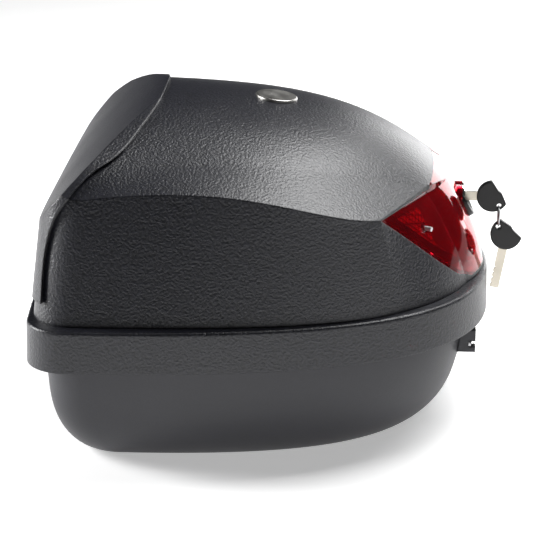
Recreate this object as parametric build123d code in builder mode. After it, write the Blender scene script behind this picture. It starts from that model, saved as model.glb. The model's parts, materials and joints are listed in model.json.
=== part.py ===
"""Motorcycle top case: a hard luggage box with a hinged lid, a rear lens and a key lock.

Frame: X points to the rear (lock side), Y across the case, Z up.
The origin is on the underside, at the middle of the length and width. Sizes are in mm.
"""
from build123d import *
import os
from math import atan2, cos, degrees, radians, sin

os.makedirs("parts", exist_ok=True)

# ------------------------------------------------------------------ driving dimensions
case_length = 396.0          # over the rim band, front to rear
case_width = 400.0           # over the rim band
dome_height = 159.5          # height scale of the lid's sections
crest_share = 0.975          # crest of the roof, as a part of that scale
wall = 3.0                   # moulded wall of the tub and lid
rim_height = 118.0           # underside to the tub's rim
band_depth = 35.0            # height of the rim band
band_wall = 3.0
ledge = 12.0                 # how far the lid walls stand in from the band
rear_ledge = 4.0             # the same at the rear nose
front_ledge = 5.0            # the same at the front
shield_step = 2.5            # how far the front shield stands proud
lens_wall = 2.8
lens_gap = 5.0               # air between the lens and the bulkhead behind it
corner_radius = 37.0
front_bow = 6.0              # how far the band's front bulges in plan
tub_bow = 3.0                # the same for the tub
joint_gap = 0.3              # between surfaces that move past each other
fit_gap = 0.05               # radial gap of a pin or plug in its bore
pin_radius = 2.0
screw_radius = 2.0
screw_head_radius = 3.8
screw_head_height = 2.0
plug_radius = 7.0            # rotating plug of the lock
lock_radius = 10.0           # body of the lock
key_thickness = 2.2
key_blade_width = 8.0
key_blade_length = 27.0
key_head_thickness = 5.0
key_head_radius = 14.0
ring_wire = 0.8              # radius of the key ring's wire
ring_radius = 8.7            # to the middle of the wire
hinge_spacing = 190.0        # between the two hinges
hinge_width = 44.0
knuckle_radius = 3.0         # hinge knuckles around their pin
hinge_pin_radius = 1.5
hinge_screw_radius = 1.5
leaf_thickness = 1.5
lens_post_radius = 6.0       # posts inside the lid that hold the lens screws
lens_boss_radius = 4.0       # bosses on the back of the lens that meet them
boss_clearance = 0.3         # around those bosses, in the parts behind the lens
badge_radius = 18.5
badge_thickness = 3.0
sheet = 2.0                  # pressed steel fittings

# ------------------------------------------------------------------ derived places
half_length = case_length / 2
half_width = case_width / 2
ledge_height = rim_height + 13.0           # top of the band, foot of the lid walls
band_bottom = ledge_height - 1.0 - band_depth
flange_height = rim_height + 6.0           # underside of the band's inner flange
case_height = ledge_height + crest_share * dome_height + shield_step
lens_top = ledge_height + 0.515 * dome_height
roof_end = 0.707 * half_length             # roof edge at the lens corners
roof_nose = 0.808 * half_length            # roof edge on the centre line
hinge_z = band_bottom + 2.0
lock_z = ledge_height + 0.375 * dome_height
lens_corner_x = 0.690 * half_length        # upper corners of the lens
lens_corner_z = ledge_height + 0.530 * dome_height
roof_tongue = 10.0                         # how far the roof runs on between those corners


# ------------------------------------------------------------------ shared shapes
def plan_outline(front, rear, half, radius, bow=front_bow):
    """Return the closed plan outline of a level section, as a sketch."""
    straight = half - radius
    side_start = front + bow + radius
    reach = rear - side_start
    slant = radius * cos(radians(45))
    with BuildSketch() as outline:
        with BuildLine():
            ThreePointArc((front + bow, -straight), (front, 0), (front + bow, straight))
            for side in (-1, 1):
                ThreePointArc(
                    (front + bow, side * straight),
                    (side_start - slant, side * (straight + slant)),
                    (side_start, side * half),
                )
                Bezier(
                    (side_start, side * half),
                    (side_start + 0.66 * reach, side * half),
                    (rear, side * 0.74 * half),
                    (rear, 0),
                )
        make_face()
    return outline.sketch


def lid_outline(height, inset):
    """Return the plan outline of the lid walls at a height, with the corners of the lens."""
    rise = (height - ledge_height) / (lens_top - ledge_height)
    low = min(max(rise, 0.0), 1.0)
    pull = 1 - (1 - low ** 1.2) ** (1 / 1.2)
    front = -half_length + front_ledge + 8.5 * rise + inset
    half = half_width - ledge - 17.0 * rise - inset
    nose = half_length - rear_ledge - (half_length - rear_ledge - roof_nose) * pull - inset
    corner_x = 0.894 * half_length - (0.894 * half_length - roof_end) * pull - inset
    corner_y = 0.31 * half_width + 0.015 * half_width * low - 0.5 * inset
    tip_x = 0.613 * half_length - 0.106 * half_length * low - 0.6 * inset
    tip_y = 0.685 * half_width + 0.02 * half_width * low - 0.8 * inset
    straight = half - corner_radius
    side_start = front + front_bow + corner_radius
    slant = corner_radius * cos(radians(45))
    bulge = 0.8 + 4.2 * (1 - low)
    with BuildSketch() as outline:
        with BuildLine():
            ThreePointArc((front + front_bow, -straight), (front, 0), (front + front_bow, straight))
            ThreePointArc((corner_x, -corner_y), (nose, 0), (corner_x, corner_y))
            for side in (-1, 1):
                ThreePointArc(
                    (front + front_bow, side * straight),
                    (side_start - slant, side * (straight + slant)),
                    (side_start, side * half),
                )
                Bezier(
                    (side_start, side * half),
                    (side_start + 0.62 * (tip_x - side_start), side * half),
                    (tip_x - 0.18 * half_length, side * (tip_y + 0.15 * half_width)),
                    (tip_x, side * tip_y),
                )
                ThreePointArc(
                    (tip_x, side * tip_y),
                    ((tip_x + corner_x) / 2 + bulge, side * ((tip_y + corner_y) / 2 + bulge)),
                    (corner_x, side * corner_y),
                )
        make_face()
    return outline.sketch


def wall_form(inset):
    """Return the solid bounded by the lid's front, side and rear walls, moved in by inset."""
    with BuildPart() as lower:
        for step in (0.0, 0.25, 0.45, 0.67, 0.88, 1.0):
            height = ledge_height + step * (lens_top - ledge_height)
            with BuildSketch(Plane.XY.offset(height)):
                add(lid_outline(height, inset))
        loft()
    with BuildPart() as upper:
        for height in (lens_top, case_height + 12.0):
            with BuildSketch(Plane.XY.offset(height)):
                add(lid_outline(height, inset))
        loft(ruled=True)
    if inset <= 0:
        return lower.part + upper.part
    with BuildPart() as foot:
        with BuildSketch(Plane.XY.offset(ledge_height)):
            add(lid_outline(ledge_height, inset))
        extrude(amount=-20.0)
    return lower.part + upper.part + foot.part


def roof_form(inset):
    """Return the solid below the shoulders and the arched roof, moved in by inset."""
    base = ledge_height - 20.0
    # station; lower crease y and height; upper crease y and height; height of the crown
    stations = (
        (-1.06, 0.760, 0.620, 0.640, 0.690, crest_share),
        (-0.60, 0.815, 0.672, 0.665, 0.770, crest_share),
        (-0.28, 0.825, 0.682, 0.650, 0.762, crest_share - 0.010),
        (0.16, 0.800, 0.625, 0.590, 0.735, 0.903),
        (0.49, 0.735, 0.507, 0.460, 0.640, 0.785),
        (0.707, 0.650, 0.400, 0.340, 0.548, 0.620),
        (1.06, 0.500, 0.230, 0.140, 0.260, 0.300),
    )
    with BuildPart() as form:
        for along, low_y, low_z, high_y, high_z, crown in stations:
            x = along * half_length
            half_low = low_y * half_width - inset
            half_high = high_y * half_width - 0.6 * inset
            z_low = ledge_height + low_z * dome_height - 0.7 * inset
            z_high = ledge_height + high_z * dome_height - inset
            top = ledge_height + crown * dome_height - inset
            reach = 35.0 / (half_low - half_high)
            foot = half_low + reach * (half_low - half_high)
            z_foot = z_low + reach * (z_low - z_high)
            with BuildSketch(Plane.YZ.offset(x)):
                with BuildLine():
                    ThreePointArc((-half_high, z_high), (0, top), (half_high, z_high))
                    for side in (-1, 1):
                        Line((side * half_high, z_high), (side * foot, z_foot))
                        Line((side * foot, z_foot), (side * foot, base))
                    Line((-foot, base), (foot, base))
                make_face()
        loft()
    return form.part


def front_form(inset):
    """Return the space behind the sloping front of the lid, moved in by inset."""
    # points of the slope, as parts of the half length and of the dome height
    slope = (
        (-0.964, 0.355),
        (-0.858, 0.560),
        (-0.730, 0.727),
        (-0.575, 0.880),
        (-0.500, 0.938),
        (-0.400, 0.985),
    )
    start_x = -0.995 * half_length + inset
    with BuildPart() as form:
        with BuildSketch(Plane.XZ):
            with BuildLine():
                curve = [(along * half_length + 0.85 * inset, ledge_height + up * dome_height - 0.6 * inset)
                         for along, up in slope]
                Line((start_x, ledge_height - 40.0), (start_x, ledge_height + 0.14 * dome_height))
                Spline((start_x, ledge_height + 0.14 * dome_height), *curve)
                Line(curve[-1], (curve[-1][0], case_height + 30.0))
                Line((curve[-1][0], case_height + 30.0), (1.1 * half_length, case_height + 30.0))
                Line((1.1 * half_length, case_height + 30.0), (1.1 * half_length, ledge_height - 40.0))
                Line((1.1 * half_length, ledge_height - 40.0), (start_x, ledge_height - 40.0))
            make_face()
        extrude(amount=half_width + 20.0, both=True)
    return form.part


def lid_form(inset):
    """Return the whole solid inside the lid's outer surface, moved in by inset."""
    return wall_form(inset) & roof_form(inset) & front_form(inset)


def lens_region(margin):
    """Return the block of space that the rear lens takes from the lid, grown by a margin."""
    outline = (
        (0.512 * half_length - margin, ledge_height + 0.505 * dome_height),
        (lens_corner_x - margin, lens_corner_z + margin),
        (lens_corner_x - margin, case_height + 20.0),
        (1.150 * half_length, case_height + 20.0),
        (1.150 * half_length, ledge_height + 0.020 * dome_height - margin),
        (0.920 * half_length, ledge_height + 0.020 * dome_height - margin),
        (0.860 * half_length, ledge_height + 0.070 * dome_height - margin),
    )
    with BuildPart() as region:
        with BuildSketch(Plane.XZ):
            with BuildLine():
                Polyline(*outline, close=True)
            make_face()
        extrude(amount=half_width + 20.0, both=True)
        with BuildSketch(Plane.XY.offset(lens_corner_z + margin)):
            with BuildLine():
                ThreePointArc(
                    (lens_corner_x - margin, -0.45 * half_width),
                    (lens_corner_x + roof_tongue - margin, 0),
                    (lens_corner_x - margin, 0.45 * half_width),
                )
                Line((lens_corner_x - margin, 0.45 * half_width), (lens_corner_x - margin, -0.45 * half_width))
            make_face()
        extrude(amount=case_height, mode=Mode.SUBTRACT)
    return region.part


def shield_region():
    """Return the block of space in front of the stepped edge of the front shield."""
    edge = (
        (-0.430, 1.100),
        (-0.455, 0.970),
        (-0.505, 0.905),
        (-0.548, 0.850),
        (-0.602, 0.800),
        (-0.676, 0.755),
        (-0.740, 0.690),
        (-0.808, 0.590),
        (-0.858, 0.450),
        (-0.885, 0.250),
        (-0.890, 0.100),
    )
    curve = [(along * half_length, ledge_height + up * dome_height) for along, up in edge]
    with BuildPart() as region:
        with BuildSketch(Plane.XZ):
            with BuildLine():
                Spline(*curve)
                Line(curve[-1], (-1.2 * half_length, curve[-1][1]))
                Line((-1.2 * half_length, curve[-1][1]), (-1.2 * half_length, curve[0][1]))
                Line((-1.2 * half_length, curve[0][1]), curve[0])
            make_face()
        extrude(amount=half_width + 20.0, both=True)
    return region.part


def rim_outline(inset):
    """Return the plan outline of the rim band, moved in by an inset."""
    return plan_outline(
        -half_length + inset, half_length - inset, half_width - inset, max(corner_radius - inset, 12.0)
    )


def tub_form(inset):
    """Return the solid inside the tub's outer surface, moved in by inset."""
    # height, then the front, rear and side sizes, as parts of the rim height and half sizes
    sections = (
        (0.000, 0.750, 0.650, 0.700, 34.0),
        (0.030, 0.797, 0.712, 0.760, 35.0),
        (0.100, 0.835, 0.775, 0.806, 36.0),
        (0.250, 0.880, 0.842, 0.860, 37.0),
        (0.500, 0.910, 0.890, 0.902, 38.0),
        (0.750, 0.918, 0.905, 0.915, 38.5),
        (1.000, 0.925, 0.920, 0.925, 39.0),
    )
    with BuildPart() as form:
        for up, front, rear, side, radius in sections:
            with BuildSketch(Plane.XY.offset(inset + up * (rim_height - inset))):
                add(plan_outline(
                    -front * half_length + inset,
                    rear * half_length - inset,
                    side * half_width - inset,
                    radius - inset,
                    tub_bow,
                ))
        loft()
    return form.part


def hole(place, direction, length, radius=screw_radius):
    """Return a cylinder for a bore or boss that starts at a place and runs along a direction."""
    on_end = (Align.CENTER, Align.CENTER, Align.MIN)
    return Plane(origin=place, z_dir=direction) * Cylinder(radius, length, align=on_end, mode=Mode.PRIVATE)


def block(x_range, y_range, z_range):
    """Return a rectangular block between three pairs of limits."""
    sizes = [high - low for low, high in (x_range, y_range, z_range)]
    corner = (x_range[0], y_range[0], z_range[0])
    from_corner = (Align.MIN, Align.MIN, Align.MIN)
    return Pos(*corner) * Box(*sizes, align=from_corner, mode=Mode.PRIVATE)


def screw(place, direction, length, head_radius=screw_head_radius, head_height=screw_head_height):
    """Return a cross-head screw whose head rests at a place, with its shank along a direction."""
    backward = [-step for step in direction]
    body = hole(place, direction, length) + hole(place, backward, head_height, head_radius)
    top = Plane(origin=place, z_dir=backward).offset(head_height)
    for long_way, short_way in ((2.6, 0.5), (0.5, 2.6)):
        body -= top * Box(long_way * screw_radius, short_way * screw_radius, head_height, mode=Mode.PRIVATE)
    return body


def small_screw(place, direction, length):
    """Return a thin low-head screw for the hinge fittings."""
    backward = [-step for step in direction]
    return hole(place, direction, length, hinge_screw_radius) + hole(place, backward, 1.2, 2.7)


# ------------------------------------------------------------------ lid: shared solids
outer_lid = lid_form(0.0)
under_lens = lid_form(lens_wall)
bulkhead_face = lid_form(lens_wall + lens_gap)
bulkhead_back = lid_form(lens_wall + lens_gap + wall)
inner_lid = lid_form(wall)
rear_half = block((0.0, half_length), (-half_width, half_width), (0.0, case_height))
shield = lid_form(-shield_step) & shield_region()
lock_face = half_length - 25.0             # outer end of the lens boss
lock_pad = half_length - 44.0              # seat of the lock nut inside the lid
lock_back = lock_pad - 10.0
cam_thickness = 3.0
lock_boss_radius = lock_radius + 3.0
pivot_x = half_length - 44.0               # pin of the latch hook
pivot_z = ledge_height + 21.0
bracket_seat = half_length - 28.0
striker_x = pivot_x + 11.0
striker_z = rim_height - 2.0
striker_seat = half_length - 26.0
bar_radius = 2.2
hinge_x = -half_length + 10.0
tub_pad_x = hinge_x + 5.5
hinge_rows = (-hinge_spacing / 2, hinge_spacing / 2)
leaf_front = hinge_x - 3.2                 # outer face of the hinge leaf
leaf_back = leaf_front + leaf_thickness
leaf_screw_z = hinge_z + 7.2
bracket_screw_z = hinge_z - 8.0
badge_x = 0.040 * half_length


def roof_height(x):
    """Return the height of the roof's outer surface on the centre line."""
    probe = hole((x, 0, ledge_height), (0, 0, 1), 2 * dome_height, 0.2) & outer_lid
    return probe.bounding_box().max.Z


def nose_reach(z):
    """Return how far back the outer surface of the lid stands on the centre line at a height."""
    probe = hole((0, 0, z), (1, 0, 0), case_length, 0.2) & outer_lid
    return probe.bounding_box().max.X


bezel_way = (0.88, 0, 0.475)               # square to the lens where the lock stands
bezel_plane = Plane(origin=(nose_reach(lock_z), 0, lock_z), x_dir=(0, 1, 0), z_dir=bezel_way)
badge_tilt = degrees(atan2(roof_height(badge_x - 10.0) - roof_height(badge_x + 10.0), 20.0))
badge_plane = Plane(
    origin=(badge_x, 0, roof_height(badge_x) - 0.8),
    x_dir=(cos(radians(badge_tilt)), 0, -sin(radians(badge_tilt))),
    z_dir=(sin(radians(badge_tilt)), 0, cos(radians(badge_tilt))),
)
# each lens screw: where its head rests inside the lid, and the way it points
side_screw_way = (0.88, 0.47)
side_screw_z = ledge_height + 0.373 * dome_height
lens_screws_at = (
    ((0.675 * half_length, -0.447 * half_width, side_screw_z), (side_screw_way[0], -side_screw_way[1], 0)),
    ((0.675 * half_length, 0.447 * half_width, side_screw_z), (side_screw_way[0], side_screw_way[1], 0)),
    ((half_length - 28.0, -38.0, pivot_z), (1, 0, 0)),
    ((half_length - 28.0, 38.0, pivot_z), (1, 0, 0)),
)
bracket_screws_at = [(bracket_seat - sheet, side * 11.0, pivot_z + 1.0) for side in (-1, 1)]

# ------------------------------------------------------------------ lid pieces
lens_space = lens_region(0.0)
lens_reach = lens_region(-0.2)
backing_reach = lens_region(-6.0)
panel_reach = lens_region(-7.0)
room_inside = inner_lid - lens_region(wall)
lock_flange = hole((lock_face - 14.0, 0, lock_z), (1, 0, 0), 14.0, lock_boss_radius) - bulkhead_face

with BuildPart() as lid_shell:
    add(outer_lid)
    add(shield)
    add(room_inside, mode=Mode.SUBTRACT)
    add(bulkhead_back & rear_half, mode=Mode.SUBTRACT)
    add(lens_space - bulkhead_face, mode=Mode.SUBTRACT)
    add(hole((lock_pad, 0, lock_z), (1, 0, 0), 36.0, lock_boss_radius) & bulkhead_face)
    add(block((bracket_seat, half_length), (-17.0, 17.0), (pivot_z - 13.0, pivot_z + 13.0)) & bulkhead_face)
    for place, way in lens_screws_at:
        add(hole(place, way, 12.0, lens_post_radius) & bulkhead_face)
    for place, way in lens_screws_at:
        add(hole(place, way, 14.0), mode=Mode.SUBTRACT)
        add(hole(place, [-step for step in way], 8.0, screw_head_radius + 0.4), mode=Mode.SUBTRACT)
    for place in bracket_screws_at:
        add(hole(place, (1, 0, 0), 11.0), mode=Mode.SUBTRACT)
    add(hole((lock_pad - 5.0, 0, lock_z), (1, 0, 0), 46.0, lock_radius), mode=Mode.SUBTRACT)
    with BuildSketch(badge_plane):
        Circle(badge_radius)
    extrude(amount=badge_thickness, mode=Mode.SUBTRACT)
lid_shell.part.label = "lid_shell"
export_step(lid_shell.part, "parts/lid_shell.step")

with BuildPart() as lid_rim_band:
    with BuildSketch(Plane.XY.offset(band_bottom)):
        add(rim_outline(0.0))
    with BuildSketch(Plane.XY.offset(ledge_height)):
        add(rim_outline(1.0))
    loft(ruled=True)
    fillet(lid_rim_band.faces().sort_by(Axis.Z)[-1].edges(), radius=2.5)
    with BuildSketch(Plane.XY.offset(band_bottom)):
        add(rim_outline(band_wall))
    extrude(amount=flange_height - band_bottom, mode=Mode.SUBTRACT)
    with BuildSketch(Plane.XY.offset(flange_height)):
        add(rim_outline(ledge + wall + 4.0))
    extrude(amount=ledge_height - flange_height, mode=Mode.SUBTRACT)
    for row in hinge_rows:
        add(
            block(
                (-half_length + band_wall - 1.0, leaf_front),
                (row - 21.0, row + 21.0),
                (hinge_z + 4.0, flange_height),
            )
        )
        for side in (-1, 1):
            add(
                hole((leaf_back, row + side * 15.0, leaf_screw_z), (-1, 0, 0), 6.5, hinge_screw_radius),
                mode=Mode.SUBTRACT,
            )
lid_rim_band.part.label = "lid_rim_band"
export_step(lid_rim_band.part, "parts/lid_rim_band.step")

with BuildPart() as reflector_lens:
    add(outer_lid & lens_reach)
    add(lock_flange)
    add(under_lens, mode=Mode.SUBTRACT)
    add(lock_flange)
    for place, way in lens_screws_at:
        add((hole(place, way, 30.0, lens_boss_radius) & under_lens) - bulkhead_face)
    for place, way in lens_screws_at:
        add(hole(place, way, 12.0), mode=Mode.SUBTRACT)
    add(hole((lock_face - 30.0, 0, lock_z), (1, 0, 0), 60.0, lock_radius), mode=Mode.SUBTRACT)
    add(hole((lock_face, 0, lock_z), (1, 0, 0), 10.0, lock_radius + 1.6), mode=Mode.SUBTRACT)
reflector_lens.part.label = "reflector_lens"
export_step(reflector_lens.part, "parts/reflector_lens.step")

backing_front = lid_form(lens_wall + 2.6)
backing_rear = lid_form(lens_wall + 4.0)
panel_front = lid_form(lens_wall + 0.1)
panel_rear = lid_form(lens_wall + 1.9)

with BuildPart() as reflector_backing:
    add((backing_front - backing_rear) & backing_reach)
    add(
        hole((lock_face - 30.0, 0, lock_z), (1, 0, 0), 60.0, lock_boss_radius + boss_clearance),
        mode=Mode.SUBTRACT,
    )
    for place, way in lens_screws_at:
        backward = [-step for step in way]
        add(hole(place, way, 30.0, lens_boss_radius + boss_clearance), mode=Mode.SUBTRACT)
        add(hole(place, backward, 8.0, lens_boss_radius + boss_clearance), mode=Mode.SUBTRACT)
reflector_backing.part.label = "reflector_backing"
export_step(reflector_backing.part, "parts/reflector_backing.step")

for side, label in ((-1, "reflex_panel_left"), (1, "reflex_panel_right")):
    y_range = sorted((side * 0.43 * half_width, side * half_width))
    window = block(
        (0.50 * half_length, half_length), y_range, (ledge_height + 0.26 * dome_height, ledge_height + 0.47 * dome_height)
    )
    with BuildPart() as reflex_panel:
        add((panel_front - panel_rear) & panel_reach & window)
        for place, way in lens_screws_at:
            add(hole(place, way, 30.0, lens_boss_radius + boss_clearance), mode=Mode.SUBTRACT)
    reflex_panel.part.label = label
    export_step(reflex_panel.part, f"parts/{label}.step")

with BuildPart() as lens_screws:
    for place, way in lens_screws_at:
        add(screw(place, way, 12.0))
lens_screws.part.label = "lens_screws"
export_step(lens_screws.part, "parts/lens_screws.step")

with BuildPart() as roof_badge:
    with BuildSketch(badge_plane):
        Circle(badge_radius - 0.1)
    extrude(amount=badge_thickness)
    fillet(roof_badge.faces().filter_by(GeomType.PLANE).sort_by(Axis.Z)[-1].edges(), radius=1.6)
roof_badge.part.label = "roof_badge"
export_step(roof_badge.part, "parts/roof_badge.step")

# ------------------------------------------------------------------ lock
with BuildPart() as lock_body:
    with BuildSketch(Plane.YZ.offset(lock_back)):
        with Locations((0, lock_z)):
            Circle(lock_radius)
    extrude(amount=lock_face - lock_back)
    with BuildSketch(Plane.YZ.offset(lock_face)):
        with Locations((0, lock_z)):
            Circle(lock_radius + 1.5)
    extrude(amount=2.0)
    fillet(lock_body.faces().sort_by(Axis.X)[-1].edges(), radius=0.8)
    with BuildSketch(Plane.YZ.offset(lock_back)):
        with Locations((0, lock_z)):
            Circle(plug_radius + fit_gap)
    extrude(amount=lock_face + 3.0 - lock_back, mode=Mode.SUBTRACT)
lock_body.part.label = "lock_body"
export_step(lock_body.part, "parts/lock_body.step")

with BuildPart() as lock_bezel:
    with BuildSketch(bezel_plane.offset(2.5)):
        with Locations((0, -4.0)):
            Ellipse(lock_radius + 3.5, lock_radius + 5.5)
    extrude(amount=-9.0)
    fillet(lock_bezel.faces().sort_by(Axis((0, 0, 0), bezel_way))[-1].edges(), radius=1.0)
    add(outer_lid, mode=Mode.SUBTRACT)
    add(hole((lock_face - 14.0, 0, lock_z), (1, 0, 0), 14.0, lock_boss_radius), mode=Mode.SUBTRACT)
    add(hole((lock_face - 14.0, 0, lock_z), (1, 0, 0), 30.0, lock_radius + 1.6), mode=Mode.SUBTRACT)
lock_bezel.part.label = "lock_bezel"
export_step(lock_bezel.part, "parts/lock_bezel.step")

with BuildPart() as lock_nut:
    with BuildSketch(Plane.YZ.offset(lock_pad)):
        with Locations((0, lock_z)):
            RegularPolygon(radius=12.6, side_count=6)
            Circle(lock_radius, mode=Mode.SUBTRACT)
    extrude(amount=-4.0)
lock_nut.part.label = "lock_nut"
export_step(lock_nut.part, "parts/lock_nut.step")

plug_face = lock_face + 2.6
keyway_depth = key_blade_length + 0.5
cam_screw_length = 6.0
with BuildPart() as lock_plug:
    with BuildSketch(Plane.YZ.offset(lock_back + joint_gap)):
        with Locations((0, lock_z)):
            Circle(plug_radius)
    extrude(amount=plug_face - lock_back - joint_gap)
    with BuildSketch(Plane.YZ.offset(lock_back - cam_thickness)):
        with Locations((0, lock_z)):
            Rectangle(7.0, 7.0)
    extrude(amount=cam_thickness + joint_gap)
    with BuildSketch(Plane.YZ.offset(plug_face)):
        with Locations((0, lock_z)):
            Rectangle(key_thickness + 2 * fit_gap, key_blade_width + 2 * fit_gap)
    extrude(amount=-keyway_depth, mode=Mode.SUBTRACT)
    with BuildSketch(Plane.YZ.offset(lock_back - cam_thickness)):
        with Locations((0, lock_z)):
            Circle(1.5)
    extrude(amount=cam_screw_length, mode=Mode.SUBTRACT)
lock_plug.part.label = "lock_plug"
export_step(lock_plug.part, "parts/lock_plug.step")

with BuildPart() as lock_cam:
    with BuildSketch(Plane.YZ.offset(lock_back - cam_thickness)):
        with Locations((10.0, lock_z)):
            SlotOverall(36.0, 14.0)
        with Locations((0, lock_z)):
            Rectangle(7.0, 7.0, mode=Mode.SUBTRACT)
    extrude(amount=cam_thickness)
lock_cam.part.label = "lock_cam"
export_step(lock_cam.part, "parts/lock_cam.step")

with BuildPart() as cam_screw:
    with BuildSketch(Plane.YZ.offset(lock_back - cam_thickness)):
        with Locations((0, lock_z)):
            Circle(1.5)
    extrude(amount=cam_screw_length)
    with BuildSketch(Plane.YZ.offset(lock_back - cam_thickness)):
        with Locations((0, lock_z)):
            Circle(5.5)
    extrude(amount=-1.8)
cam_screw.part.label = "cam_screw"
export_step(cam_screw.part, "parts/cam_screw.step")


# ------------------------------------------------------------------ keys
def key_plane(center, angle, flip):
    """Return the plane of a key: its X runs from the blade to the head's far side."""
    return Plane(
        origin=(center[0], 0, center[1]),
        x_dir=(cos(radians(angle)), 0, sin(radians(angle))),
        z_dir=(0, flip, 0),
    )


hole_at = (6.0, -8.5)                      # ring hole in the head, in the key's own plane
ring_hole_radius = 2.2
head_reach = 24.4                          # plug face to the middle of the head
neck = 6.0                                 # inner end of the blade, from the middle of the head


def blade_solid(plane):
    """Return the flat metal blade of a key, with its cuts."""
    with BuildPart() as blade:
        with BuildSketch(plane):
            with Locations((-(head_reach + key_blade_length + neck) / 2, 0)):
                Rectangle(head_reach + key_blade_length - neck, key_blade_width)
            for step in range(4):
                with Locations((-head_reach - key_blade_length + 4.0 + 5.0 * step, -key_blade_width / 2)):
                    RegularPolygon(radius=1.2 + 0.4 * (step % 2), side_count=4, mode=Mode.SUBTRACT)
        extrude(amount=key_thickness / 2, both=True)
    return blade.part


def head_solid(plane):
    """Return the moulded head of a key, before its blade's slot is cut."""
    with BuildPart() as head:
        with BuildSketch(plane):
            Circle(key_head_radius)
            with BuildLine():
                Polyline((-2.0, 16.0), (5.0, 5.2), (8.0, 3.0), (14.5, -12.0), (25.0, 0), (25.0, 16.0), close=True)
            make_face(mode=Mode.SUBTRACT)
            with Locations(hole_at):
                Circle(ring_hole_radius, mode=Mode.SUBTRACT)
        extrude(amount=key_head_thickness / 2, both=True)
    return head.part


key_center = (plug_face + head_reach, lock_z)
in_lock = key_plane(key_center, 0.0, -1)
ring_slack = 0.45                          # the wire's curve inside a key's hole
ring_top = (key_center[0] + hole_at[0], key_center[1] + hole_at[1] - ring_hole_radius + ring_wire + ring_slack)
ring_low = (ring_top[0], ring_top[1] - 2 * ring_radius)
spare_angle = 80.0
spare_hole = (ring_low[0], ring_low[1] - ring_hole_radius + ring_wire + ring_slack)
turned_x = hole_at[0] * cos(radians(spare_angle)) + hole_at[1] * sin(radians(spare_angle))
turned_z = hole_at[0] * sin(radians(spare_angle)) - hole_at[1] * cos(radians(spare_angle))
spare_center = (spare_hole[0] - turned_x, spare_hole[1] - turned_z)
on_ring = key_plane(spare_center, spare_angle, 1)

for plane, blade_label, head_label in (
    (in_lock, "key_blade", "key_head"),
    (on_ring, "spare_key_blade", "spare_key_head"),
):
    blade_shape = blade_solid(plane)
    head_shape = head_solid(plane)
    with BuildPart() as key_blade:
        add(blade_shape)
    key_blade.part.label = blade_label
    export_step(key_blade.part, f"parts/{blade_label}.step")
    with BuildPart() as key_head:
        add(head_shape)
        add(blade_shape, mode=Mode.SUBTRACT)
    key_head.part.label = head_label
    export_step(key_head.part, f"parts/{head_label}.step")

with BuildPart() as key_ring:
    with BuildSketch(Plane.XZ):
        with Locations((ring_top[0], ring_top[1])):
            Circle(ring_wire)
    revolve(axis=Axis((0, 0, ring_top[1] - ring_radius), (1, 0, 0)))
key_ring.part.label = "key_ring"
export_step(key_ring.part, "parts/key_ring.step")

# ------------------------------------------------------------------ latch
with BuildPart() as latch_bracket:
    add(block((bracket_seat - sheet, bracket_seat), (-15.0, 15.0), (pivot_z - 12.0, pivot_z + 12.0)))
    for side in (-1, 1):
        add(
            block(
                (pivot_x - 6.0, bracket_seat - sheet),
                sorted((side * 4.5, side * (4.5 + sheet))),
                (pivot_z - 8.0, pivot_z + 8.0),
            )
        )
        add(hole((pivot_x, side * 4.0, pivot_z), (0, side, 0), 4.0, pin_radius), mode=Mode.SUBTRACT)
    for place in bracket_screws_at:
        add(hole(place, (1, 0, 0), sheet), mode=Mode.SUBTRACT)
latch_bracket.part.label = "latch_bracket"
export_step(latch_bracket.part, "parts/latch_bracket.step")

with BuildPart() as latch_bracket_screws:
    for place in bracket_screws_at:
        add(screw(place, (1, 0, 0), 9.0, head_radius=3.2))
latch_bracket_screws.part.label = "latch_bracket_screws"
export_step(latch_bracket_screws.part, "parts/latch_bracket_screws.step")

with BuildPart() as hook_pin:
    with BuildSketch(Plane.XZ):
        with Locations((pivot_x, pivot_z)):
            Circle(pin_radius)
    extrude(amount=8.0, both=True)
hook_pin.part.label = "hook_pin"
export_step(hook_pin.part, "parts/hook_pin.step")

hook_tip = striker_z - bar_radius - 3.6    # top of the hook's nose
hook_front = 1.0                           # front of the hook's shank, from its pin
with BuildPart() as latch_hook:
    with BuildSketch(Plane.XZ):
        with BuildLine():
            Polyline(
                (pivot_x - 6.5, pivot_z + 9.0),
                (pivot_x + 4.0, pivot_z + 9.0),
                (pivot_x + 6.5, pivot_z),
                (pivot_x + hook_front, hook_tip + 14.0),
                (pivot_x + hook_front, hook_tip),
                (pivot_x + 7.5, hook_tip),
                (pivot_x + 5.0, hook_tip - 5.0),
                (pivot_x - 4.0, hook_tip - 5.0),
                (pivot_x - 6.5, pivot_z),
                close=True,
            )
        make_face()
        with Locations((pivot_x, pivot_z)):
            Circle(pin_radius + fit_gap, mode=Mode.SUBTRACT)
    extrude(amount=4.0, both=True)
latch_hook.part.label = "latch_hook"
export_step(latch_hook.part, "parts/latch_hook.step")

striker_screws_at = [(striker_seat - sheet, side * 17.0, striker_z - 7.0) for side in (-1, 1)]
with BuildPart() as striker:
    add(block((striker_seat - sheet, striker_seat), (-22.0, 22.0), (striker_z - 13.0, striker_z + 1.0)))
    for side in (-1, 1):
        add(
            block(
                (striker_x - 4.0, striker_seat - sheet),
                sorted((side * 9.0, side * (9.0 + sheet))),
                (striker_z - 6.0, striker_z + 3.0),
            )
        )
    add(hole((striker_x, -9.5, striker_z), (0, 1, 0), 19.0, bar_radius))
    for place in striker_screws_at:
        add(hole(place, (1, 0, 0), sheet), mode=Mode.SUBTRACT)
striker.part.label = "striker"
export_step(striker.part, "parts/striker.step")

with BuildPart() as striker_screws:
    for place in striker_screws_at:
        add(screw(place, (1, 0, 0), 9.0))
striker_screws.part.label = "striker_screws"
export_step(striker_screws.part, "parts/striker_screws.step")

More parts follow.
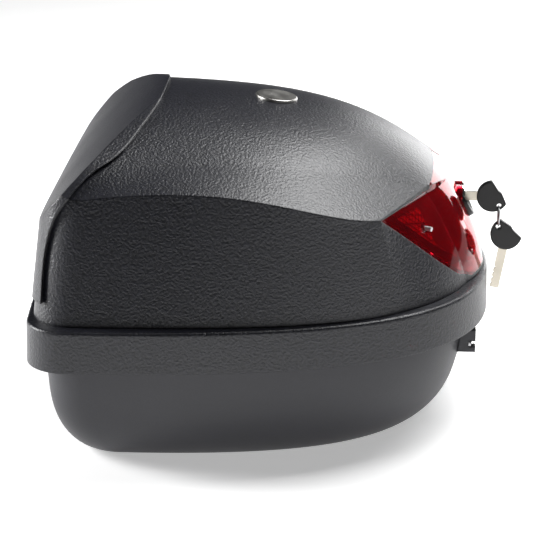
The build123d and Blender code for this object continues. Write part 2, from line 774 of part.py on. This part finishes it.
# ------------------------------------------------------------------ tub
grip_half = 0.25 * half_width
recess_half = grip_half - 6.0
recess_floor = 0.30 * rim_height
recess_x = 0.800 * half_length
grip_top = band_bottom - 2.0
grip_low = 0.52 * rim_height
grip_rear = 0.945 * half_length
grip_screws_at = [
    (grip_rear - 6.0, side * (grip_half - 3.0), grip_top - 0.25 * (1 + 2 * row) * (grip_top - grip_low))
    for side in (-1, 1)
    for row in (0, 1)
]
dock_half_x = 0.30 * half_length
dock_half_y = 0.18 * half_width
cover_height = 20.0
cover_screws_at = [
    (along * (dock_half_x + 14.0), side * (dock_half_y + 8.0), wall + 2.5) for along in (-1, 1) for side in (-1, 1)
]
dock_screws_at = [
    (along * (dock_half_x - 7.0), side * (dock_half_y - 7.0), wall - 1.0) for along in (-1, 1) for side in (-1, 1)
]
tub_outer = tub_form(0.0)
tub_inner = tub_form(wall)

with BuildPart() as tub_shell:
    add(tub_outer)
    with BuildSketch(Plane.XY.offset(rim_height - 10.0)):
        add(rim_outline(8.0))
    extrude(amount=10.0)
    for row in hinge_rows:
        add(block((tub_pad_x, tub_pad_x + 12.0), (row - 20.0, row + 20.0), (band_bottom - 12.0, rim_height - 10.0)))
    add(tub_inner, mode=Mode.SUBTRACT)
    add(
        block(
            (recess_x - wall, half_length),
            (-recess_half - wall, recess_half + wall),
            (recess_floor - wall, grip_top + wall),
        )
        & tub_outer
    )
    add(block((recess_x, half_length), (-recess_half, recess_half), (recess_floor, grip_top)), mode=Mode.SUBTRACT)
    add(block((striker_seat, half_length), (-24.0, 24.0), (striker_z - 15.0, rim_height)) & tub_outer)
    add(block((-dock_half_x, dock_half_x), (-dock_half_y, dock_half_y), (0.0, wall)), mode=Mode.SUBTRACT)
    for place in striker_screws_at:
        add(hole(place, (1, 0, 0), 11.0), mode=Mode.SUBTRACT)
    for place in cover_screws_at:
        add(hole((place[0], place[1], 0.5), (0, 0, 1), 8.0), mode=Mode.SUBTRACT)
    for place in grip_screws_at:
        add(hole((place[0] - 7.0, place[1], place[2]), (-1, 0, 0), 20.0, 4.5) & tub_outer)
        add(hole(place, (-1, 0, 0), 22.0), mode=Mode.SUBTRACT)
    for row in hinge_rows:
        for side in (-1, 1):
            add(
                hole((tub_pad_x - sheet, row + side * 13.0, bracket_screw_z), (1, 0, 0), 8.5, hinge_screw_radius),
                mode=Mode.SUBTRACT,
            )
tub_shell.part.label = "tub_shell"
export_step(tub_shell.part, "parts/tub_shell.step")

with BuildPart() as rim_seal:
    with BuildSketch(Plane.XY.offset(rim_height)):
        add(rim_outline(10.0))
        add(rim_outline(14.0), mode=Mode.SUBTRACT)
    extrude(amount=flange_height - joint_gap - rim_height)
rim_seal.part.label = "rim_seal"
export_step(rim_seal.part, "parts/rim_seal.step")

with BuildPart() as carry_handle:
    with BuildSketch(Plane.XZ):
        with BuildLine():
            Polyline(
                (recess_x + 6.0, grip_top),
                (grip_rear, grip_top),
                (grip_rear - 4.0, grip_low),
                (grip_rear - 11.0, grip_low),
                (grip_rear - 9.0, grip_top - 7.0),
                (recess_x + 6.0, grip_top - 4.0),
                close=True,
            )
        make_face()
    extrude(amount=recess_half, both=True)
    fillet(carry_handle.edges().filter_by(Axis.Y).sort_by(Axis.Z)[:2], radius=2.0)
    for side in (-1, 1):
        add(
            block(
                (0.80 * half_length, grip_rear - 6.0),
                sorted((side * recess_half, side * grip_half)),
                (grip_low, grip_top),
            )
            - tub_outer
        )
        add(
            block(
                (grip_rear - 11.0, grip_rear),
                sorted((side * (recess_half - 0.1), side * grip_half)),
                (grip_low, grip_top),
            )
            & (hole((grip_rear - 5.0, 0, grip_low), (0, 0, 1), grip_top - grip_low, 80.0))
        )
    add(tub_shell.part, mode=Mode.SUBTRACT)
    for place in grip_screws_at:
        add(hole(place, (-1, 0, 0), 30.0), mode=Mode.SUBTRACT)
        add(hole(place, (1, 0, 0), 30.0, screw_head_radius), mode=Mode.SUBTRACT)
carry_handle.part.label = "carry_handle"
export_step(carry_handle.part, "parts/carry_handle.step")

# ------------------------------------------------------------------ hinges
arm_half = 8.0
leaf_inner = arm_half + joint_gap
leaf_outer = hinge_width / 2 - 2.0
with BuildPart() as hinge_brackets:
    for row in hinge_rows:
        add(
            block(
                (tub_pad_x - sheet, tub_pad_x),
                (row - 18.0, row + 18.0),
                (band_bottom - 11.0, rim_height - 11.0),
            )
        )
        add(block((hinge_x, tub_pad_x - sheet), (row - arm_half, row + arm_half), (hinge_z - 3.0, hinge_z)))
        add(hole((hinge_x, row - arm_half, hinge_z), (0, 1, 0), 2 * arm_half, knuckle_radius))
        add(hole((hinge_x, row - arm_half, hinge_z), (0, 1, 0), 2 * arm_half, hinge_pin_radius + fit_gap), mode=Mode.SUBTRACT)
        for side in (-1, 1):
            add(
                hole((tub_pad_x - sheet, row + side * 13.0, bracket_screw_z), (1, 0, 0), sheet, hinge_screw_radius),
                mode=Mode.SUBTRACT,
            )
hinge_brackets.part.label = "hinge_brackets"
export_step(hinge_brackets.part, "parts/hinge_brackets.step")

with BuildPart() as hinge_leaves:
    for row in hinge_rows:
        for side in (-1, 1):
            low, high = sorted((row + side * leaf_inner, row + side * leaf_outer))
            add(hole((hinge_x, low, hinge_z), (0, 1, 0), high - low, knuckle_radius))
            add(block((leaf_front, leaf_back), (low, high), (hinge_z, hinge_z + 6.0)))
            add(hole((hinge_x, low, hinge_z), (0, 1, 0), high - low, hinge_pin_radius), mode=Mode.SUBTRACT)
        add(
            block(
                (leaf_front, leaf_back),
                (row - leaf_outer, row + leaf_outer),
                (hinge_z + 4.0, flange_height - 2.0),
            )
        )
        for side in (-1, 1):
            add(
                hole((leaf_back, row + side * 15.0, leaf_screw_z), (-1, 0, 0), 4.0, hinge_screw_radius),
                mode=Mode.SUBTRACT,
            )
hinge_leaves.part.label = "hinge_leaves"
export_step(hinge_leaves.part, "parts/hinge_leaves.step")

with BuildPart() as hinge_pins:
    for row in hinge_rows:
        add(hole((hinge_x, row - leaf_outer, hinge_z), (0, 1, 0), 2 * leaf_outer, hinge_pin_radius))
hinge_pins.part.label = "hinge_pins"
export_step(hinge_pins.part, "parts/hinge_pins.step")

with BuildPart() as leaf_screws:
    for row in hinge_rows:
        for side in (-1, 1):
            add(small_screw((leaf_back, row + side * 15.0, leaf_screw_z), (-1, 0, 0), 5.5))
leaf_screws.part.label = "leaf_screws"
export_step(leaf_screws.part, "parts/leaf_screws.step")

with BuildPart() as hinge_bracket_screws:
    for row in hinge_rows:
        for side in (-1, 1):
            add(small_screw((tub_pad_x - sheet, row + side * 13.0, bracket_screw_z), (1, 0, 0), 7.0))
hinge_bracket_screws.part.label = "hinge_bracket_screws"
export_step(hinge_bracket_screws.part, "parts/hinge_bracket_screws.step")

# ------------------------------------------------------------------ dock under the floor
tooth_x = 0.55 * dock_half_x
latch_travel = 8.0
latch_half_y = 14.0
latch_low = wall + 0.5
latch_high = latch_low + 6.0
latch_front = 0.25 * dock_half_x
latch_rear = 0.85 * dock_half_x
cover_half_x = dock_half_x + 8.0
cover_half_y = dock_half_y + 2.0

with BuildPart() as dock_plate:
    add(
        block(
            (-dock_half_x + joint_gap, dock_half_x - joint_gap),
            (-dock_half_y + joint_gap, dock_half_y - joint_gap),
            (0.0, wall - 0.5),
        )
    )
    slot = (tooth_x - 6.0, tooth_x + 6.0 + latch_travel + 1.0)
    add(block(slot, (-latch_half_y + 4.0, latch_half_y - 4.0), (0.0, wall)), mode=Mode.SUBTRACT)
    for side in (-1, 1):
        add(
            block(
                (latch_front - 4.0, latch_rear),
                sorted((side * (latch_half_y + joint_gap), side * (latch_half_y + 3.0))),
                (wall - 0.5, latch_high),
            )
        )
    for along in (-1, 1):
        add(
            block(
                (along * 0.8 * dock_half_x - 9.0, along * 0.8 * dock_half_x + 9.0),
                (-dock_half_y + 8.0, -dock_half_y + 13.0),
                (0.0, wall),
            ),
            mode=Mode.SUBTRACT,
        )
    for place in dock_screws_at:
        add(hole((place[0], place[1], wall - 0.5), (0, 0, 1), 9.0, 4.5))
    for place in dock_screws_at:
        add(hole((place[0], place[1], 0.0), (0, 0, 1), 20.0), mode=Mode.SUBTRACT)
        add(hole((place[0], place[1], 0.0), (0, 0, 1), 1.3, screw_head_radius), mode=Mode.SUBTRACT)
dock_plate.part.label = "dock_plate"
export_step(dock_plate.part, "parts/dock_plate.step")

with BuildPart() as mechanism_cover:
    add(block((-cover_half_x, cover_half_x), (-cover_half_y, cover_half_y), (wall, wall + cover_height)))
    fillet(mechanism_cover.edges().filter_by(Axis.Z), radius=6.0)
    fillet(mechanism_cover.faces().sort_by(Axis.Z)[-1].edges(), radius=3.0)
    add(
        block(
            (-cover_half_x + 2.5, cover_half_x - 2.5),
            (-cover_half_y + 2.5, cover_half_y - 2.5),
            (wall, wall + cover_height - 2.5),
        ),
        mode=Mode.SUBTRACT,
    )
    for along, side, height in cover_screws_at:
        add(hole((along, side, wall), (0, 0, 1), 2.5, 7.0))
        add(
            block(
                sorted((0.80 * along, along)),
                sorted((0.80 * side, side)),
                (wall, height),
            )
        )
    for place in dock_screws_at:
        add(hole((place[0], place[1], wall + 8.5), (0, 0, 1), cover_height - 9.0, 4.5))
    for place in cover_screws_at:
        add(hole(place, (0, 0, -1), 20.0), mode=Mode.SUBTRACT)
    for place in dock_screws_at:
        add(hole((place[0], place[1], 0.0), (0, 0, 1), 18.0), mode=Mode.SUBTRACT)
mechanism_cover.part.label = "mechanism_cover"
export_step(mechanism_cover.part, "parts/mechanism_cover.step")

with BuildPart() as cover_screws:
    for place in cover_screws_at:
        add(screw(place, (0, 0, -1), 4.6))
cover_screws.part.label = "cover_screws"
export_step(cover_screws.part, "parts/cover_screws.step")

with BuildPart() as dock_screws:
    for place in dock_screws_at:
        add(screw((place[0], place[1], 1.3), (0, 0, 1), 16.0, head_height=1.2))
dock_screws.part.label = "dock_screws"
export_step(dock_screws.part, "parts/dock_screws.step")

with BuildPart() as dock_latch:
    add(
        block(
            (latch_front, latch_rear - latch_travel - 1.0),
            (-latch_half_y, latch_half_y),
            (latch_low, latch_high),
        )
    )
    add(block((tooth_x - 5.0, tooth_x + 5.0), (-latch_half_y + 4.5, latch_half_y - 4.5), (0.4, latch_low)))
    chamfer(dock_latch.faces().sort_by(Axis.Z)[0].edges().filter_by(Axis.Y)[:1], length=1.5)
dock_latch.part.label = "dock_latch"
export_step(dock_latch.part, "parts/dock_latch.step")

with BuildPart() as dock_spring:
    for turn in range(6):
        with BuildSketch(Plane.YZ.offset(latch_rear - latch_travel - 1.0 + 1.0 + 2.6 * turn)):
            with Locations((0, latch_low + 4.0)):
                Circle(3.4)
                Circle(2.0, mode=Mode.SUBTRACT)
        extrude(amount=1.6)
    with BuildSketch(Plane.YZ.offset(latch_rear - latch_travel - 1.0)):
        with Locations((0, latch_low + 4.0)):
            Circle(2.4)
            Circle(2.0, mode=Mode.SUBTRACT)
    extrude(amount=cover_half_x - 2.5 - latch_rear + latch_travel + 1.0)
dock_spring.part.label = "dock_spring"
export_step(dock_spring.part, "parts/dock_spring.step")

with BuildPart() as grip_screws:
    for place in grip_screws_at:
        add(screw(place, (-1, 0, 0), 20.0))
grip_screws.part.label = "grip_screws"
export_step(grip_screws.part, "parts/grip_screws.step")
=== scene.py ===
"""Blender looks for a motorcycle top case: finishes, light and camera."""
import json
import logging
import math
from dataclasses import dataclass
from enum import Enum

import bmesh
import bpy
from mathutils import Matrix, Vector


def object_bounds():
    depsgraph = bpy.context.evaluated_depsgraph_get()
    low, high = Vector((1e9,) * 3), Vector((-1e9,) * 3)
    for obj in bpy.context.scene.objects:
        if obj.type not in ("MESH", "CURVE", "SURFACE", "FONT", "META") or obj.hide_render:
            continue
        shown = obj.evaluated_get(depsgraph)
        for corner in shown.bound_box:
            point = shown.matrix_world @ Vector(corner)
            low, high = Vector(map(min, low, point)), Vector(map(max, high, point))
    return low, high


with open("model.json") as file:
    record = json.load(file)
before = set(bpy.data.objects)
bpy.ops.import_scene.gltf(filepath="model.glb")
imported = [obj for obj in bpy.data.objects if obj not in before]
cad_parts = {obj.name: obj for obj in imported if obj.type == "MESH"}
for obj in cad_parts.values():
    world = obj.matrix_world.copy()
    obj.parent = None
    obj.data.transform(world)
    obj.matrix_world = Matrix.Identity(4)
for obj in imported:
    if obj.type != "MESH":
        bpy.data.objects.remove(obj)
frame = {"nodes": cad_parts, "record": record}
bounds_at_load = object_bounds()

log = logging.getLogger("top_case")

Colour = tuple[float, float, float]
Pair = tuple[float, float]
Triple = tuple[float, float, float]


PATTERN_DETAIL = 2.0  # finer layers in the small patterns
NOISE_RANGE: Pair = (0.3, 0.7)  # where nearly all of a noise pattern's values lie
BEVEL_SAMPLES = 6  # rays that find an edge to soften
WHITE = (1.0, 1.0, 1.0, 1.0)


# ---------------------------------------------------------------- finishes
class Grain(Enum):
    """How coarse a moulded surface is, as the width of its bumps in metres."""

    COARSE = 0.0021
    FINE = 0.0007
    SATIN = 0.0004


def node(material: bpy.types.Material, kind: str, **values: object) -> bpy.types.Node:
    """Add a shader node and set its plain properties.

    Args:
        material: the material whose node tree takes the node.
        kind: the node's type name.
        values: properties to set on the new node.

    Returns:
        The new node.
    """
    made = material.node_tree.nodes.new(kind)
    for name, value in values.items():
        setattr(made, name, value)
    return made


def link(
    material: bpy.types.Material,
    source: bpy.types.NodeSocket,
    target: bpy.types.NodeSocket,
) -> None:
    """Join two sockets of a material.

    Args:
        material: the material whose node tree takes the link.
        source: the output that the link starts from.
        target: the input that the link ends at.
    """
    material.node_tree.links.new(source, target)


def noise(
    material: bpy.types.Material,
    coords: bpy.types.Node,
    scale: float,
    detail: float,
) -> bpy.types.NodeSocket:
    """Add a noise pattern on object coordinates.

    Args:
        material: the material that takes the nodes.
        coords: its texture coordinate node.
        scale: how many features stand in a metre.
        detail: how many finer layers are added.

    Returns:
        The pattern's value.
    """
    made = node(material, "ShaderNodeTexNoise")
    made.inputs["Scale"].default_value = scale
    made.inputs["Detail"].default_value = detail
    link(material, coords.outputs["Object"], made.inputs["Vector"])
    return made.outputs["Fac"]


def spread(
    material: bpy.types.Material,
    value: bpy.types.NodeSocket,
    source: Pair,
    target: Pair,
) -> bpy.types.NodeSocket:
    """Map a value from one range to another.

    Args:
        material: the material that takes the node.
        value: the value to map.
        source: the two ends of the range it comes from.
        target: the two ends of the range it goes to.

    Returns:
        The mapped value.
    """
    made = node(material, "ShaderNodeMapRange")
    made.inputs["From Min"].default_value, made.inputs["From Max"].default_value = source
    made.inputs["To Min"].default_value, made.inputs["To Max"].default_value = target
    link(material, value, made.inputs["Value"])
    return made.outputs["Result"]


def mixed(
    material: bpy.types.Material,
    factor: bpy.types.NodeSocket,
    low: Colour,
    high: Colour,
) -> bpy.types.NodeSocket:
    """Mix two colours by a value.

    Args:
        material: the material that takes the node.
        factor: nought for the first colour, one for the second.
        low: the first colour.
        high: the second colour.

    Returns:
        The mixed colour.
    """
    made = node(material, "ShaderNodeMix", data_type="RGBA")
    made.inputs["A"].default_value = (*low, 1.0)
    made.inputs["B"].default_value = (*high, 1.0)
    link(material, factor, made.inputs["Factor"])
    return made.outputs["Result"]


def fresh(name: str) -> tuple[bpy.types.Material, bpy.types.Node, bpy.types.Node]:
    """Start a material.

    Args:
        name: the material's name.

    Returns:
        The material, its shader and its texture coordinates.
    """
    material = bpy.data.materials.new(name)
    material.use_nodes = True
    shader = material.node_tree.nodes["Principled BSDF"]
    return material, shader, node(material, "ShaderNodeTexCoord")


def bumped(
    material: bpy.types.Material,
    height: bpy.types.NodeSocket,
    depth: float,
) -> bpy.types.Node:
    """Add a bump and lead it to the shader.

    Args:
        material: the material that takes the node.
        height: the pattern whose high parts stand out.
        depth: how far they stand out, in metres.

    Returns:
        The bump node.
    """
    shader = material.node_tree.nodes["Principled BSDF"]
    bump = node(material, "ShaderNodeBump")
    bump.inputs["Distance"].default_value = depth
    link(material, height, bump.inputs["Height"])
    link(material, bump.outputs["Normal"], shader.inputs["Normal"])
    return bump


@dataclass(frozen=True)
class Moulded:
    """A moulded plastic or rubber with a pebbled grain and slight unevenness.

    The speckle darkens and lightens the colour. The rounding softens sharp edges in the light only.
    """

    name: str
    colour: Colour
    roughness: float
    grain: Grain
    depth: float
    speckle: float = 0.0
    gloss: float = 0.5
    patch_scale: float = 9.0
    patch_detail: float = 3.0
    smoother: float = 0.03
    rougher: float = 0.04
    rounding: float = 0.0022
    speckle_range: Pair = (0.35, 0.65)

    def build(self) -> bpy.types.Material:
        """Build the material.

        Returns:
            The finished material.
        """
        material, shader, coords = fresh(self.name)
        shader.inputs["Specular IOR Level"].default_value = self.gloss
        pebbles = noise(material, coords, 1.0 / self.grain.value, PATTERN_DETAIL)
        patches = noise(material, coords, self.patch_scale, self.patch_detail)
        softened = node(material, "ShaderNodeBevel", samples=BEVEL_SAMPLES)
        softened.inputs["Radius"].default_value = self.rounding
        bump = bumped(material, pebbles, self.depth)
        bump.inputs["Strength"].default_value = 1.0
        link(material, softened.outputs["Normal"], bump.inputs["Normal"])
        ends = (self.roughness - self.smoother, self.roughness + self.rougher)
        rough = spread(material, patches, NOISE_RANGE, ends)
        link(material, rough, shader.inputs["Roughness"])
        low = tuple(channel * (1.0 - self.speckle) for channel in self.colour)
        high = tuple(min(channel * (1.0 + self.speckle), 1.0) for channel in self.colour)
        tint = mixed(material, spread(material, pebbles, self.speckle_range, (0.0, 1.0)), low, high)
        link(material, tint, shader.inputs["Base Color"])
        return material


@dataclass(frozen=True)
class Metal:
    """A metal with fine brushing along one direction and small stains."""

    name: str
    colour: Colour
    roughness: float
    brush: Triple = (1.0, 1.0, 1.0)
    depth: float = 0.00002
    line_scale: float = 900.0
    line_detail: float = 4.0
    stain_scale: float = 70.0
    stain_shade: float = 0.8
    polished: float = 0.75
    worn: float = 1.3

    def build(self) -> bpy.types.Material:
        """Build the material.

        Returns:
            The finished material.
        """
        material, shader, coords = fresh(self.name)
        shader.inputs["Metallic"].default_value = 1.0
        mapping = node(material, "ShaderNodeMapping")
        mapping.inputs["Scale"].default_value = self.brush
        link(material, coords.outputs["Object"], mapping.inputs["Vector"])
        lines = node(material, "ShaderNodeTexNoise")
        lines.inputs["Scale"].default_value = self.line_scale
        lines.inputs["Detail"].default_value = self.line_detail
        link(material, mapping.outputs["Vector"], lines.inputs["Vector"])
        stains = noise(material, coords, self.stain_scale, PATTERN_DETAIL)
        ends = (self.roughness * self.polished, self.roughness * self.worn)
        rough = spread(material, stains, NOISE_RANGE, ends)
        link(material, rough, shader.inputs["Roughness"])
        bumped(material, lines.outputs["Fac"], self.depth)
        dull = tuple(self.stain_shade * channel for channel in self.colour)
        link(material, mixed(material, stains, dull, self.colour), shader.inputs["Base Color"])
        return material


@dataclass(frozen=True)
class ClearRed:
    """A clear red moulded lens, with the faint waviness of a thick moulding."""

    name: str
    colour: Colour
    transmission: float
    waviness: float = 0.0002
    wave_scale: float = 30.0
    refraction: float = 1.49
    rough_range: Pair = (0.03, 0.08)
    deep_shade: float = 0.75

    def build(self) -> bpy.types.Material:
        """Build the material.

        Returns:
            The finished material.
        """
        material, shader, coords = fresh(self.name)
        shader.inputs["Transmission Weight"].default_value = self.transmission
        shader.inputs["IOR"].default_value = self.refraction
        waves = noise(material, coords, self.wave_scale, PATTERN_DETAIL)
        rough = spread(material, waves, NOISE_RANGE, self.rough_range)
        link(material, rough, shader.inputs["Roughness"])
        bumped(material, waves, self.waviness)
        deep = tuple(self.deep_shade * channel for channel in self.colour)
        link(material, mixed(material, waves, deep, self.colour), shader.inputs["Base Color"])
        return material


@dataclass(frozen=True)
class Prisms:
    """Red reflex plastic whose back is covered with small prisms in rows, with painted shade along
    the creases between the prisms.
    """

    name: str
    colour: Colour
    pitch: float = 0.0042
    depth: float = 0.0015
    roughness: float = 0.12
    turn: Triple = (25.0, -30.0, 28.0)
    # how dark the painted shade in the creases between the prisms is
    line_range: Pair = (0.02, 0.20)
    painted_crease_shade: float = 0.25

    def rows(
        self,
        material: bpy.types.Material,
        along: bpy.types.NodeSocket,
        feature: str,
    ) -> bpy.types.NodeSocket:
        """Add the regular cells of the prisms.

        Args:
            material: the material that takes the nodes.
            along: the turned coordinates.
            feature: which distance of the cells is given.

        Returns:
            That distance.
        """
        cells = node(material, "ShaderNodeTexVoronoi", feature=feature)
        cells.inputs["Scale"].default_value = 1.0 / self.pitch
        cells.inputs["Randomness"].default_value = 0.0
        link(material, along, cells.inputs["Vector"])
        return cells.outputs["Distance"]

    def build(self) -> bpy.types.Material:
        """Build the material.

        Returns:
            The finished material.
        """
        material, shader, coords = fresh(self.name)
        shader.inputs["Roughness"].default_value = self.roughness
        turned = node(material, "ShaderNodeMapping")
        turned.inputs["Rotation"].default_value = tuple(math.radians(angle) for angle in self.turn)
        link(material, coords.outputs["Object"], turned.inputs["Vector"])
        edges = self.rows(material, turned.outputs["Vector"], "DISTANCE_TO_EDGE")
        bumped(material, self.rows(material, turned.outputs["Vector"], "F1"), self.depth)
        # Painted shade: the colour is darkened along the edges between the prisms, standing in for
        # the shade in their creases.
        dark = tuple(self.painted_crease_shade * channel for channel in self.colour)
        lines = spread(material, edges, self.line_range, (0.0, 1.0))
        link(material, mixed(material, lines, dark, self.colour), shader.inputs["Base Color"])
        return material


LID_PLASTIC = Moulded(
    name="lid_plastic",
    colour=(0.0095, 0.0100, 0.0150),
    roughness=0.36,
    grain=Grain.COARSE,
    depth=0.00055,
    speckle=0.45,
    gloss=0.62,
)
TUB_PLASTIC = Moulded("tub_plastic", (0.034, 0.034, 0.040), 0.47, Grain.FINE, 0.00008, 0.12)
BLACK_PLASTIC = Moulded("black_plastic", (0.004, 0.004, 0.005), 0.38, Grain.SATIN, 0.00002, 0.1)
SEAL_RUBBER = Moulded("seal_rubber", (0.015, 0.015, 0.015), 0.7, Grain.SATIN, 0.00003, 0.15)
DARK_BACKING = Moulded("dark_backing", (0.22, 0.004, 0.010), 0.25, Grain.SATIN, 0.00002, 0.2)
RED_LENS = ClearRed("red_lens", (0.85, 0.010, 0.030), 0.92)
REFLEX_RED = Prisms("reflex_red", (0.90, 0.02, 0.04))
BADGE_METAL = Metal("badge_metal", (0.46, 0.45, 0.43), 0.36, (1.0, 14.0, 1.0))
CHROME = Metal("chrome", (0.80, 0.80, 0.80), 0.10)
STEEL = Metal("steel", (0.55, 0.55, 0.56), 0.32)
KEY_METAL = Metal("key_metal", (0.66, 0.61, 0.52), 0.28, (1.0, 1.0, 10.0))

REFLEX_PANELS = ("reflex_panel_left", "reflex_panel_right")
FINISH_OF_SLOT = {
    "lid_plastic": LID_PLASTIC,
    "tub_plastic": TUB_PLASTIC,
    "black_plastic": BLACK_PLASTIC,
    "seal_rubber": SEAL_RUBBER,
    "dark_backing": DARK_BACKING,
    "red_lens": RED_LENS,
    "badge_metal": BADGE_METAL,
    "chrome": CHROME,
    "steel": STEEL,
    "key_metal": KEY_METAL,
}


@dataclass(frozen=True)
class Carried:
    """The CAD nodes, each given the finish of its material slot."""

    record: dict

    def dress(self) -> None:
        """Assign every node the finish of its slot, and log each one."""
        made = {slot: finish.build() for slot, finish in FINISH_OF_SLOT.items()}
        prisms = REFLEX_RED.build()
        for part in self.record["subparts"]:
            name = part["node"]
            body = frame["nodes"][name]
            material = prisms if name in REFLEX_PANELS else made[part["material_slot"]]
            body.data.materials.clear()
            body.data.materials.append(material)
            log.info("dressed %s as %s", name, material.name)


@dataclass(frozen=True)
class View:
    """The camera: where it stands and how long its lens is."""

    azimuth: float = 3.2
    elevation: float = 20.0
    distance: float = 1.8
    target: Triple = (0.0035, 0.0, 0.1103)
    lens: float = 131.6
    sensor_width: float = 36.0
    clip_end: float = 20.0

    def place(self) -> bpy.types.Object:
        """Add the camera and make it the scene's own.

        Returns:
            The camera object.
        """
        turn, rise = math.radians(self.azimuth), math.radians(self.elevation)
        back = Vector((
            math.sin(turn) * math.cos(rise),
            -math.cos(turn) * math.cos(rise),
            math.sin(rise),
        ))
        camera = bpy.data.objects.new("camera", bpy.data.cameras.new("camera"))
        camera.data.sensor_fit = "HORIZONTAL"
        camera.data.sensor_width = self.sensor_width
        camera.data.lens = self.lens
        camera.data.clip_end = self.clip_end
        camera.location = Vector(self.target) + self.distance * back
        camera.rotation_euler = back.to_track_quat("Z", "Y").to_euler()
        bpy.context.scene.collection.objects.link(camera)
        bpy.context.scene.camera = camera
        return camera


@dataclass(frozen=True)
class Softbox:
    """One rectangular studio light aimed at the case."""

    name: str
    place: Triple
    size: Pair
    power: float
    aim: Triple = (0.0, 0.0, 0.12)

    def add(self) -> None:
        """Add the light to the scene."""
        light = bpy.data.lights.new(self.name, "AREA")
        light.shape = "RECTANGLE"
        light.size, light.size_y = self.size
        light.energy = self.power
        lamp = bpy.data.objects.new(self.name, light)
        lamp.location = self.place
        away = Vector(self.place) - Vector(self.aim)
        lamp.rotation_euler = away.to_track_quat("Z", "Y").to_euler()
        bpy.context.scene.collection.objects.link(lamp)


SOFTBOXES = (
    Softbox("top_light", (0.52, 0.30, 1.42), (0.8, 0.8), 24.0),
    Softbox("front_light", (-1.6, 0.05, 0.74), (0.5, 0.8), 36.0),
    Softbox("rear_light", (0.95, 1.5, 0.5), (1.2, 1.0), 18.0),
)


@dataclass(frozen=True)
class Studio:
    """A pale floor, a pale room and three soft lights."""

    floor_level: float
    floor_reach: float = 6.0
    paper_roughness: float = 0.85
    paper_glow: float = 0.40
    bright_way: Triple = (0.0, 0.25, 0.97)
    dim: float = 0.045
    bright: float = 0.88
    fade: Pair = (-0.35, 0.75)

    def build(self) -> None:
        """Add the floor, the room and the lights."""
        self.lay_floor()
        self.light_room()
        bpy.context.scene.view_settings.view_transform = "Standard"
        for softbox in SOFTBOXES:
            softbox.add()

    def lay_floor(self) -> None:
        """Lay the pale floor at the level that the case stands on."""
        mesh = bpy.data.meshes.new("floor")
        built = bmesh.new()
        bmesh.ops.create_grid(built, x_segments=1, y_segments=1, size=self.floor_reach)
        bmesh.ops.translate(built, verts=built.verts, vec=(0.0, 0.0, self.floor_level))
        built.to_mesh(mesh)
        built.free()
        floor = bpy.data.objects.new("floor", mesh)
        bpy.context.scene.collection.objects.link(floor)
        paper = bpy.data.materials.new("paper")
        paper.use_nodes = True
        shader = paper.node_tree.nodes["Principled BSDF"]
        shader.inputs["Base Color"].default_value = WHITE
        shader.inputs["Roughness"].default_value = self.paper_roughness
        shader.inputs["Emission Color"].default_value = WHITE
        shader.inputs["Emission Strength"].default_value = self.paper_glow
        mesh.materials.append(paper)
        log.info("laid the floor at %.4f m", self.floor_level)

    def light_room(self) -> None:
        """Make the room bright overhead and dim low down, a little brighter behind the case."""
        world = bpy.data.worlds.new("room")
        world.use_nodes = True
        tree = world.node_tree
        background = tree.nodes["Background"]
        coords = tree.nodes.new("ShaderNodeTexCoord")
        toward = tree.nodes.new("ShaderNodeVectorMath")
        toward.operation = "DOT_PRODUCT"
        toward.inputs[1].default_value = self.bright_way
        tree.links.new(coords.outputs["Generated"], toward.inputs[0])
        ramp = tree.nodes.new("ShaderNodeMapRange")
        ramp.interpolation_type = "SMOOTHSTEP"
        ramp.inputs["From Min"].default_value, ramp.inputs["From Max"].default_value = self.fade
        ramp.inputs["To Min"].default_value = self.dim
        ramp.inputs["To Max"].default_value = self.bright
        tree.links.new(toward.outputs["Value"], ramp.inputs["Value"])
        tree.links.new(ramp.outputs["Result"], background.inputs["Strength"])
        bpy.context.scene.world = world


def main() -> None:
    """Build the looks, light and camera."""
    Carried(frame["record"]).dress()
    View().place()
    Studio(bounds_at_load[0][2]).build()


if __name__ == "__main__":
    logging.basicConfig(level=logging.INFO)
    main()
